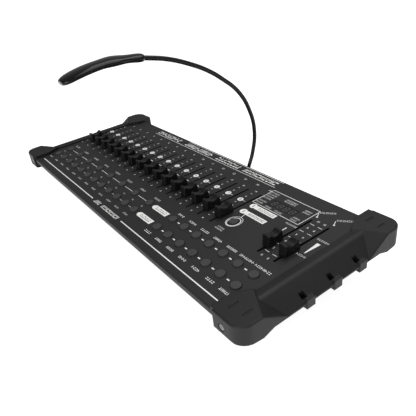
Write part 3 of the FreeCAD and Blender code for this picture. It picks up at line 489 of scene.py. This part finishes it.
# labels round the display's window: middle, place up the slope, width
displayPrint = {"frame": (106.2, 168.6, 116.0, 146.6, 0.6), "height": 2.0, "labels": (
    (112, 142.5, 11), (112, 138.5, 13), (112, 134.5, 12), (112, 130.5, 11), (137, 141.5, 15),
    (137, 138.3, 15), (112, 124, 12), (112, 120, 10), (126, 119, 9), (140, 119, 10),
    (161, 139, 9), (161, 135.5, 9), (161, 122.5, 9), (160, 119, 8))}


def printDisplay(white, grey):
    addFrame(white, *displayPrint["frame"])
    for x, s, width in displayPrint["labels"]:
        addWord(grey, x, s, width, displayPrint["height"], seed=int(x))


rightScales = {"numberShift": 6.2, "numberHeight": 2.3, "tickShift": 5.4, "tick": (5.0, 0.5),
               "ticks": (125, 111, 97, 83, 69)}
# a slanting label by each slot's top: a dot, a short lead and the word
slantLabels = {"widths": (15, 22), "height": 2.8, "slant": math.radians(36), "dotS": 137.5,
               "dotRadius": 1.0, "leadShift": (-1.6, 3.2), "lead": (0.6, 6.0), "leadTurn": 0.45,
               "wordShift": (-3.0, 7.5)}
speedPrint = {"wedge": [(202.0, 88.5), (202.8, 88.5), (204.2, 106.5), (200.4, 106.5)],
              "bar": (164.8, 102.2, 1.3, 6.5), "height": 2.2,
              "words": ((164.8, 111.4, 14, 7), (202.4, 111.6, 13, 7), (202.4, 84.2, 10, 9))}


def printRightScales(white):
    for x, side in zip(rightX, (1, -1)):
        for label, s in scaleMarks.items():
            addNumber(white, label, x + side * rightScales["numberShift"], s,
                      rightScales["numberHeight"])
        for s in rightScales["ticks"]:
            addBar(white, x + side * rightScales["tickShift"], s, *rightScales["tick"])


def printSlantLabels(white, grey):
    slant = slantLabels["slant"]
    along = Vector((math.cos(slant), math.sin(slant)))
    for x, width in zip(rightX, slantLabels["widths"]):
        start = Vector((x, slantLabels["dotS"]))
        addDisc(white, *start, slantLabels["dotRadius"])
        addBar(white, *(start + Vector(slantLabels["leadShift"])), *slantLabels["lead"],
               turn=slantLabels["leadTurn"])
        middle = start + Vector(slantLabels["wordShift"]) + along * (width / 2)
        addWord(grey, *middle, width, slantLabels["height"], turn=slant, seed=int(x))


def printSpeedMarks(white, grey):
    addOutline(white, speedPrint["wedge"])
    addBar(white, *speedPrint["bar"])
    for x, s, width, seed in speedPrint["words"]:
        addWord(grey, x, s, width, speedPrint["height"], seed=seed)


# unlit seven-bar figures behind the display's window
figures = {"count": 4, "first": -12.2, "pitch": 8.1, "lean": 0.12, "depth": -0.17,
           "rows": (-3.4, 0, 3.4), "rowBar": (3.4, 0.7), "columns": (-2.2, 2.2),
           "halves": (-1.7, 1.7), "columnBar": (0.7, 2.6)}


def printFigures(ghost):
    lean, depth = figures["lean"], figures["depth"]
    for i in range(figures["count"]):
        x = windowMiddle.x + figures["first"] + figures["pitch"] * i
        for row in figures["rows"]:
            addBar(ghost, x + row * lean, windowMiddle.y + row, *figures["rowBar"], lift=depth)
        for column in figures["columns"]:
            for row in figures["halves"]:
                addBar(ghost, x + column + row * lean, windowMiddle.y + row,
                       *figures["columnBar"], lean=lean, lift=depth)


inks = {name: bmesh.new() for name in ("white", "grey", "dark", "ghost")}
printFrontLine(inks["white"])
printKeyLabels(inks["white"], inks["grey"])
printKeyDashes(inks["white"], inks["grey"])
printKeyTags(inks["white"], inks["dark"])
printChannelScales(inks["white"], inks["grey"], inks["dark"])
printPageTags(inks["white"], inks["dark"])
printPageRing(inks["white"], inks["grey"])
printTitle(inks["white"])
printDisplay(inks["white"], inks["grey"])
printRightScales(inks["white"])
printSlantLabels(inks["white"], inks["grey"])
printSpeedMarks(inks["white"], inks["grey"])
printFigures(inks["ghost"])
inkPieces = {"white": ("panelPrint", "printInk"), "grey": ("panelPrintSmall", "greyInk"),
             "dark": ("panelPrintDark", "panelPaint"), "ghost": ("displayFigures", "ghostInk")}
for shade, (name, finish) in inkPieces.items():
    bm = inks[shade]
    bmesh.ops.transform(bm, matrix=onPanel, verts=bm.verts)
    bmesh.ops.recalc_face_normals(bm, faces=bm.faces)
    makePiece(name, bm, materials[finish])
print("panel print made")


# the gooseneck: one smooth ribbed tube in two pieces, in place of the frame's two neck nodes.
# Its line is given in mm from the lamp socket's face: to the rear, and up from the floor.
neck = {"radius": 2.4, "rib": 0.14, "ribPitch": 1.5, "sides": 20, "seam": 0.5, "smooth": 64,
        "aboveBulge": 0.1,
        "line": [(14.8, 46.4), (20.6, 66.0), (21.8, 91.5), (12.2, 118.5), (-5.2, 141.5),
                 (-28.0, 157.8), (-47.0, 168.2), (-70.0, 177.0), (-96.3, 184.0), (-123.2, 187.4)]}


def neckPath():
    # an even run of points along a smooth curve through the neck's line
    low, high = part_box("lamp_socket")
    data = bpy.data.curves.new("neckLine", "CURVE")
    data.dimensions = "3D"
    data.resolution_u = neck["smooth"]
    spline = data.splines.new("BEZIER")
    spline.bezier_points.add(len(neck["line"]) - 1)
    for knot, (rear, up) in zip(spline.bezier_points, neck["line"]):
        knot.co = ((low.x + high.x) / 2, high.y + rear * mm, up * mm)
        knot.handle_left_type = knot.handle_right_type = "AUTO"
    holder = bpy.data.objects.new("neckLine", data)
    mesh = bpy.data.meshes.new_from_object(holder)
    points = [v.co.copy() for v in mesh.vertices]
    bpy.data.meshes.remove(mesh)
    bpy.data.objects.remove(holder)
    bpy.data.curves.remove(data)
    return points


def evenly(points, step):
    spaced = [points[0]]
    left = step
    for a, b in zip(points, points[1:]):
        length = (b - a).length
        done = 0.0
        while length - done >= left:
            done += left
            spaced.append(a.lerp(b, done / length))
            left = step
        left -= length - done
    return spaced


def neckTube(name, points, node):
    bm = bmesh.new()
    rings = []
    across = Vector((1, 0, 0))
    for i, point in enumerate(points):
        ahead = points[min(i + 1, len(points) - 1)] - points[max(i - 1, 0)]
        up = across.cross(ahead.normalized())
        radius = (neck["radius"] - (neck["rib"] if i % 2 else 0)) * mm
        ring = []
        for k in range(neck["sides"]):
            angle = 2 * math.pi * k / neck["sides"]
            ring.append(bm.verts.new(point + (across * math.cos(angle) + up * math.sin(angle))
                                     * radius))
        rings.append(ring)
    for ringA, ringB in zip(rings, rings[1:]):
        for k in range(neck["sides"]):
            j = (k + 1) % neck["sides"]
            bm.faces.new((ringA[k], ringA[j], ringB[j], ringB[k]))
    bm.faces.new(rings[0])
    bm.faces.new(rings[-1])
    bmesh.ops.recalc_face_normals(bm, faces=bm.faces)
    piece = makePiece(name, bm, materials["neckCoating"], body=None,
                      smooth=True)
    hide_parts(node)
    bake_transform(piece)


neckPoints = evenly(neckPath(), neck["ribPitch"] / 2 * mm)
# the hinge is where the upper neck starts; the curve passes that far back once above its bulge
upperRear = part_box("lamp_neck_upper")[1].y
aboveBulge = [i for i, point in enumerate(neckPoints) if point.z >= neck["aboveBulge"]]
hinge = min(aboveBulge, key=lambda i: abs(neckPoints[i].y - upperRear))
split = int(hinge * neck["seam"])
neckTube("neckLower", neckPoints[:split + 1],
         "lamp_neck_lower")
neckTube("neckUpper", neckPoints[split:],
         "lamp_neck_upper")
print("gooseneck made:", len(neckPoints), "rings")


# room, light and camera
studio = {"floor": 12.0, "floorColour": (0.6, 0.6, 0.6), "floorGlow": 0.85, "surround": 0.32}


def makeFloor():
    bm = bmesh.new()
    bmesh.ops.create_grid(bm, x_segments=1, y_segments=1, size=studio["floor"])
    mesh = bpy.data.meshes.new("floor")
    bm.to_mesh(mesh)
    bm.free()
    material = bpy.data.materials.new("floorPaper")
    material.use_nodes = True
    shader = material.node_tree.nodes["Principled BSDF"]
    shader.inputs["Base Color"].default_value = (*studio["floorColour"], 1)
    shader.inputs["Roughness"].default_value = 0.9
    shader.inputs["Emission Color"].default_value = (1, 1, 1, 1)
    shader.inputs["Emission Strength"].default_value = studio["floorGlow"]
    mesh.materials.append(material)
    floor = bpy.data.objects.new("floor", mesh)
    bpy.context.scene.collection.objects.link(floor)


def makeWorld():
    # white where the camera sees it, dimmer as a light source
    world = bpy.data.worlds.new("studio")
    world.use_nodes = True
    tree = world.node_tree
    background = tree.nodes["Background"]
    background.inputs["Color"].default_value = (1, 1, 1, 1)
    ray = addNode(tree, "ShaderNodeLightPath")
    level = addNode(tree, "ShaderNodeMath", operation="MAXIMUM")
    level.inputs[1].default_value = studio["surround"]
    tree.links.new(ray.outputs["Is Camera Ray"], level.inputs[0])
    tree.links.new(level.outputs[0], background.inputs["Strength"])
    bpy.context.scene.world = world


softLights = {
    "overhead": {"place": (0.1, 0.3, 1.3), "target": (0, 0.05, 0), "size": (1.4, 1.0), "power": 12},
    "frontFill": {"place": (0.7, -1.2, 0.45), "target": (0, 0, 0.02), "size": (0.8, 0.5),
                  "power": 11},
}


def addSoftLight(name, place, target, size, power):
    data = bpy.data.lights.new(name, "AREA")
    data.shape = "RECTANGLE"
    data.size, data.size_y = size
    data.energy = power
    lamp = bpy.data.objects.new(name, data)
    lamp.location = place
    lamp.rotation_euler = (Vector(target) - Vector(place)).to_track_quat("-Z", "Y").to_euler()
    bpy.context.scene.collection.objects.link(lamp)


# where the camera stands, and the way it looks, in the frame's metres
viewpoint = {"fromPanelStart": (0.4167, -0.1714, 0.2145), "looks": (-0.7219, 0.5339, -0.4402),
             "lens": 39.42, "sensor": 36}


def makeCamera():
    data = bpy.data.cameras.new("camera")
    data.lens = viewpoint["lens"]
    data.sensor_width = viewpoint["sensor"]
    camera = bpy.data.objects.new("camera", data)
    camera.location = panelStart + Vector(viewpoint["fromPanelStart"])
    camera.rotation_euler = Vector(viewpoint["looks"]).to_track_quat("-Z", "Y").to_euler()
    bpy.context.scene.collection.objects.link(camera)
    bpy.context.scene.camera = camera


makeFloor()
makeWorld()
for name, lightValues in softLights.items():
    addSoftLight(name, **lightValues)
bpy.context.scene.view_settings.view_transform = "Standard"
makeCamera()
print("studio and camera set")
